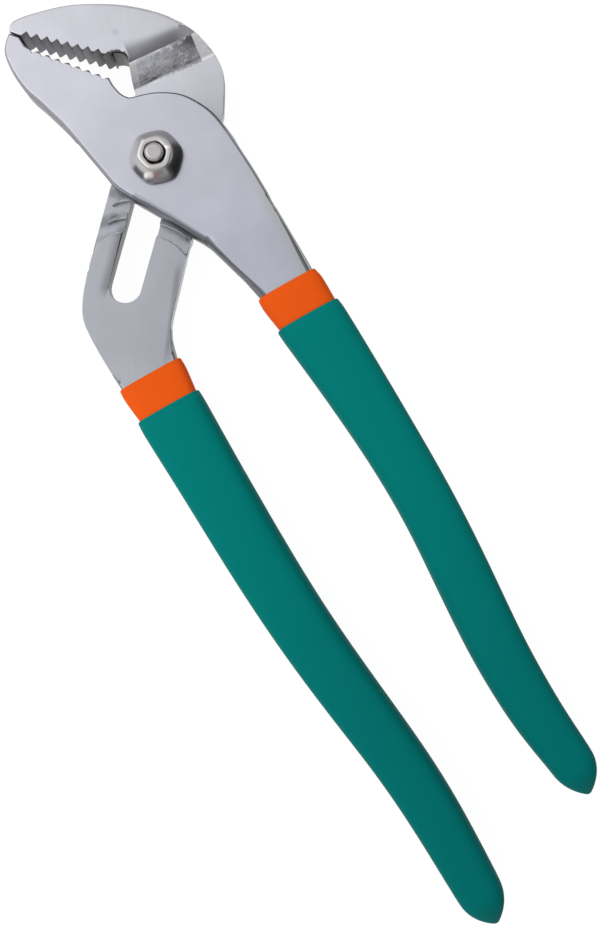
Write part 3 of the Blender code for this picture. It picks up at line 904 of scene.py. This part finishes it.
def round_roll(piece):
    """Rounds the line where the jaw's face starts to roll down to the step."""
    def on_line(place):
        return (abs(past_step(place) - step_roll_end) < slack
                and abs(place.z - front_face) < slack)
    for reach in roll_ends:
        cut_faces(piece, lambda place, normal: normal.z > 0.9 and place.z > jaw_face_low,
                  step_across, reach)
    pick_edges(piece, lambda one, other: on_line(one) and on_line(other)
               and roll_ends[0] < step_across.dot((one + other) / 2) < roll_ends[1])
    bpy.ops.mesh.bevel(offset=roll_round, segments=8, clamp_overlap=False)
    bpy.ops.object.mode_set(mode="OBJECT")


def cut_nose(piece):
    """Parts the slope's end at the throat, painted pale as a highlight, from the rest."""
    pick_faces(piece, on_step)
    bpy.ops.mesh.bisect(
        plane_co=nose_foot + Vector((nose_wide / nose_way.x, 0, 0)), plane_no=nose_way)
    bpy.ops.object.mode_set(mode="OBJECT")


def close_seam(piece):
    """Merges the small step where the front arm's plate ends on its handle."""
    pick_corners(piece, lambda place: (
        abs(place.y - plate_end) < seam_reach and place.z > band_face + seam_gap))
    bpy.ops.mesh.remove_doubles(threshold=seam_gap)
    bpy.ops.object.mode_set(mode="OBJECT")


def slot_place(place):
    """A place as its way along the slot towards the jaws, and to the left of it."""
    return (place.x + place.y) * math.sqrt(0.5), (place.y - place.x) * math.sqrt(0.5)


def off_channels(place):
    """How far a place lies from the middle line of each channel's two arcs."""
    along, left = slot_place(place)
    for index in range(channel_count):
        for middle in (0, channel_shift):
            radius = math.hypot(along + index * channel_pitch, left - middle)
            yield abs(radius - channel_radius)


def on_channel(place, height):
    """Whether a place lies on a channel's edge at a height."""
    return abs(place.z - height) <= slack and any(
        abs(away - channel_half) < edge_slack for away in off_channels(place))


def in_channel(place, normal):
    """Whether a place lies in a channel, on its wall or its softened mouth."""
    low_enough = channel_walls_low < place.z < band_face - slack / 2
    beside_slot = abs(slot_place(place)[1]) > slot_half + slot_clear
    return low_enough and beside_slot and normal.z < 0.95 and any(
        away < channel_half + channel_round * 2 for away in off_channels(place))


def soften_channels(piece):
    """Rounds the mouths of the channels, so they read as soft dents."""
    pick_edges(piece, lambda one, other: (
        on_channel(one, band_face) and on_channel(other, band_face)))
    bpy.ops.mesh.bevel(offset=channel_round, segments=2, clamp_overlap=False)
    bpy.ops.object.mode_set(mode="OBJECT")
    assign(piece, channel_look, in_channel)


def part_floor(piece):
    """Cuts the recess floor into short lengths, so its faces stay simple."""
    def on_floor(place, normal):
        return normal.z > 0.99 and abs(place.z - channel_floor) < slack
    for index in range(floor_cuts):
        cut_faces(piece, on_floor, Vector(slot_along), floor_cut_first - index * floor_cut_step)


def soften_slot(piece):
    """Rounds the slot's left mouth, below the channels."""
    def on_mouth(place):
        along, left = slot_place(place)
        return (abs(place.z - band_face) < slack and abs(left - slot_half) < edge_slack
                and slot_mouth[0] < along < slot_mouth[1])
    pick_edges(piece, lambda one, other: on_mouth(one) and on_mouth(other))
    bpy.ops.mesh.bevel(offset=slot_round, segments=4, clamp_overlap=False)
    bpy.ops.object.mode_set(mode="OBJECT")


def fill_neck(piece):
    """Draws the plate's last corners out to the handle's line, and widens the rim below them."""
    pick_corners(piece, lambda place: (
        plate_corners[0] < place.y < plate_corners[1] and place.x < plate_left))
    bpy.ops.transform.translate(value=(-plate_draw, 0, 0))
    bpy.ops.object.mode_set(mode="OBJECT")
    for on_side in neck_sides:
        pick_corners(piece, lambda place: (
            on_side(place) and neck[0] < place.y < neck[1] and place.z > neck_low))
        bpy.ops.mesh.vertices_smooth(factor=0.5, repeat=3)
        bpy.ops.object.mode_set(mode="OBJECT")
    for y, top, wider in neck_rims:
        pick_corners(piece, lambda place: (
            abs(place.y - y * MM) < edge_slack and abs(place.z - top * MM) < edge_slack
            and place.x < neck_rim_reach - place.y * neck_rim_lean))
        bpy.ops.transform.translate(value=(wider * MM, 0, 0))
        bpy.ops.object.mode_set(mode="OBJECT")


def narrow_tip(piece):
    """The staked end of the bolt, a little narrower than its shank."""
    pick_corners(piece, lambda place: place.z > bolt_tip)
    bpy.ops.transform.resize(value=(tip_share, tip_share, 1), center_override=(0, 0, bolt_tip))
    bpy.ops.object.mode_set(mode="OBJECT")


def lean_hub_wall(piece):
    """The forging's draft: the hub's wall stands a little further out at its foot."""
    pick_corners(piece, lambda place: (
        abs(place.z - hub_foot) < slack and place.x > -place.y * hub_arc_lean
        and place.y > hub_arc_low and place.xy.length > hub_arc_reach))
    bpy.ops.transform.resize(value=(hub_draft, hub_draft, 1), center_override=(0, 0, hub_foot))
    bpy.ops.object.mode_set(mode="OBJECT")


slotted_forging = forged_copy("slotted_arm", "slotted_forging")
wear(slotted_forging, band_look, forge_look, rubbed_and_highlight_look, channel_look)
round_roll(slotted_forging)
cut_nose(slotted_forging)
roughen_step(slotted_forging)
part_floor(slotted_forging)
soften_channels(slotted_forging)
soften_slot(slotted_forging)
finish_forging(slotted_forging, "slotted_arm", "slotted_forging", "slotted_side",
               hard=52, smooth=32)

tongue_forging = forged_copy("tongue_arm", "tongue_forging")
wear(tongue_forging, steel_look)
close_seam(tongue_forging)
fill_neck(tongue_forging)
lean_hub_wall(tongue_forging)
finish_forging(tongue_forging, "tongue_arm", "tongue_forging", "tongue_side")

bolt = forged_copy("pivot_bolt", "turned_bolt")
wear(bolt, bolt_look)
narrow_tip(bolt)
finish_forging(bolt, "pivot_bolt", "turned_bolt", "pivot", slot_name="bright_steel",
               width=bolt_edge_break)


# The nut: a softly cornered hexagon whose domed flank rises to a small flat top

nut_low = 15.1 * MM
nut_edge = 0.7 * MM
nut_radius = 7.35 * MM
nut_corner = 1.9 * MM
nut_turn = math.radians(14)
# Each row's rise, and its share of the hexagon's size
nut_rows = ((0.25 * MM, 0.99), (1.3 * MM, 0.90), (1.6 * MM, 0.74), (0.95 * MM, 0.64),
            (0.25 * MM, 0.58), (0.0, 0.43), (-0.5 * MM, 0.38), (-3.3 * MM, 0.38))


def polished_nut():
    """The hexagon drawn up row by row, and down again into its bore."""
    nut = start_from(
        bpy.ops.mesh.primitive_cylinder_add, vertices=6, radius=nut_radius, depth=nut_edge,
        location=(0, 0, nut_low + nut_edge / 2), rotation=(0, 0, nut_turn))
    pick_edges(nut, lambda one, other: abs(one.z - other.z) > merge_gap)
    bpy.ops.mesh.bevel(offset=nut_corner, segments=2)
    bpy.ops.object.mode_set(mode="OBJECT")
    height, size = nut_low + nut_edge, 1.0
    for rise, share in nut_rows:
        pick_faces(nut, lambda place, normal: abs(normal.z) > 0.9 and place.z > height - merge_gap
                   and place.xy.length < merge_gap)
        bpy.ops.mesh.extrude_region_move(TRANSFORM_OT_translate={"value": (0, 0, rise)})
        bpy.ops.transform.resize(
            value=(share / size, share / size, 1), center_override=(0, 0, height + rise))
        bpy.ops.object.mode_set(mode="OBJECT")
        height, size = height + rise, share
    apply(nut, "SUBSURF", levels=3, render_levels=3)
    finish_piece(nut, "polished_nut", "pivot", "bright_steel", nut_look, angle=round_angle,
                 stands_for=["pivot_nut"])


polished_nut()


# Floor, light and camera

floor_size = 6.0
floor_drop = 0.05 * MM
floor_dark = (0.09, 0.09, 0.09, 1)
floor_light = (0.11, 0.11, 0.11, 1)
glow_dark = (0.99, 0.99, 0.99, 1)
floor_glow = 0.945
room_light = 0.60
room_dark = 0.05
ceiling_light = 0.95
key_place = (-0.65, 0.50, 0.85)
key_size = 1.3
key_power = 4.5


def make_floor():
    """A pale light table: it glows a little, so shadows on it stay faint."""
    pick_nothing()
    bpy.ops.mesh.primitive_plane_add(size=floor_size, location=(0, 0, -floor_drop))
    floor = keep_as("floor")
    made, tree, shader, place = material("pale_floor")
    cloud = noise(tree, place, 8, detail=2, rough=0.5)
    join(tree, blend(tree, cloud, floor_dark, floor_light), shader.inputs["Base Color"])
    join(tree, blend(tree, cloud, glow_dark, white), shader.inputs["Emission Color"])
    shader.inputs["Emission Strength"].default_value = floor_glow
    shader.inputs["Roughness"].default_value = 0.9
    shader.inputs["Specular IOR Level"].default_value = 0.0
    wear(floor, made)


def soft_box(name, place, size, power):
    """A round lamp that looks at the middle of the tool."""
    lamp = bpy.data.lights.new(name, "AREA")
    lamp.shape = "DISK"
    lamp.size = size
    lamp.energy = power
    made = bpy.data.objects.new(name, lamp)
    bpy.context.scene.collection.objects.link(made)
    made.location = place
    made.rotation_euler = (-Vector(place)).to_track_quat("-Z", "Y").to_euler()


def make_studio():
    """A bright ceiling over a dimmer room, darkest to the lower right of the photograph."""
    world = bpy.data.worlds.new("studio")
    bpy.context.scene.world = world
    world.use_nodes = True
    tree = world.node_tree
    way = tree.nodes.new("ShaderNodeTexCoord").outputs["Generated"]
    room = ramp(tree, along_way(tree, way, dark_side), 0.45, 0.95, room_light, room_dark)
    ceiling = ramp(tree, parts_of(tree, way)["Z"], 0.30, 0.85)
    bright = calc(tree, "ADD", times(tree, ceiling, ceiling_light),
                  times(tree, calc(tree, "SUBTRACT", 1.0, ceiling), room))
    tree.nodes["Background"].inputs["Color"].default_value = white
    join(tree, bright, tree.nodes["Background"].inputs["Strength"])


make_floor()
make_studio()
soft_box("key_softbox", key_place, key_size, key_power)
bpy.context.scene.view_settings.view_transform = "Standard"

camera = bpy.data.cameras.new("camera")
camera.lens = camera_lens
camera.clip_start = 0.01
eye = bpy.data.objects.new("camera", camera)
bpy.context.scene.collection.objects.link(eye)
eye.location = camera_place
eye.rotation_euler = (0, 0, camera_turn)
bpy.context.scene.camera = eye
